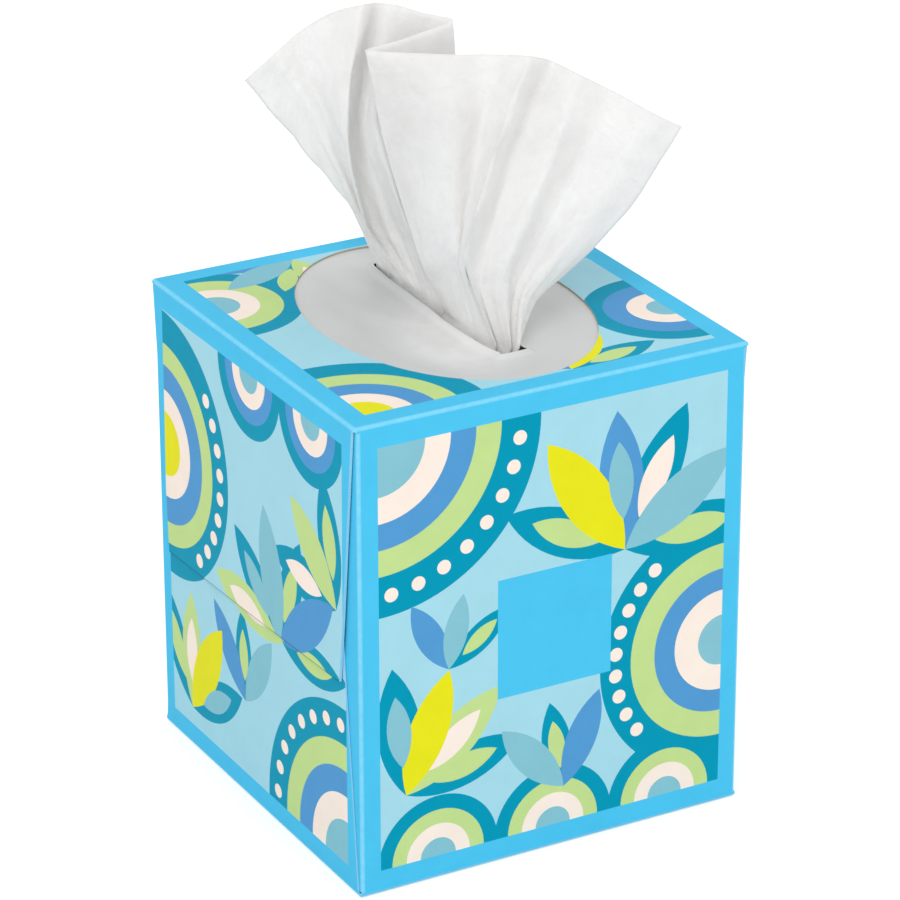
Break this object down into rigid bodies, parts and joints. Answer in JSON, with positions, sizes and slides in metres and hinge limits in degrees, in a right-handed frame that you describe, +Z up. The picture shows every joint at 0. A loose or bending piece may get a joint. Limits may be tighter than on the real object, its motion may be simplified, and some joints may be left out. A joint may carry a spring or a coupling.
{
  "type": "tissue box",
  "caption": "Upright paperboard tissue carton with an oval opening, a slit film window and the first tissue pulled up.",
  "frame": {"origin": "middle of the base, level with what the carton stands on", "axes": "+Z up, +X to the right along the front panel and across the slit, the front panel faces -Y and the slit runs along Y"},
  "size_m": [0.111, 0.111, 0.207],
  "materials": {
    "carton": "printed in colours and varnished to a satin gloss",
    "film_window": "thin milky film",
    "tissue_stack": "soft, matte",
    "top_tissue": "soft, matte, slightly see-through"
  },
  "bodies": {
    "root": {"carton": "carton", "film_window": "film_window", "tissue_stack": "tissue_stack", "top_tissue": "top_tissue"}
  },
  "joints": []
}
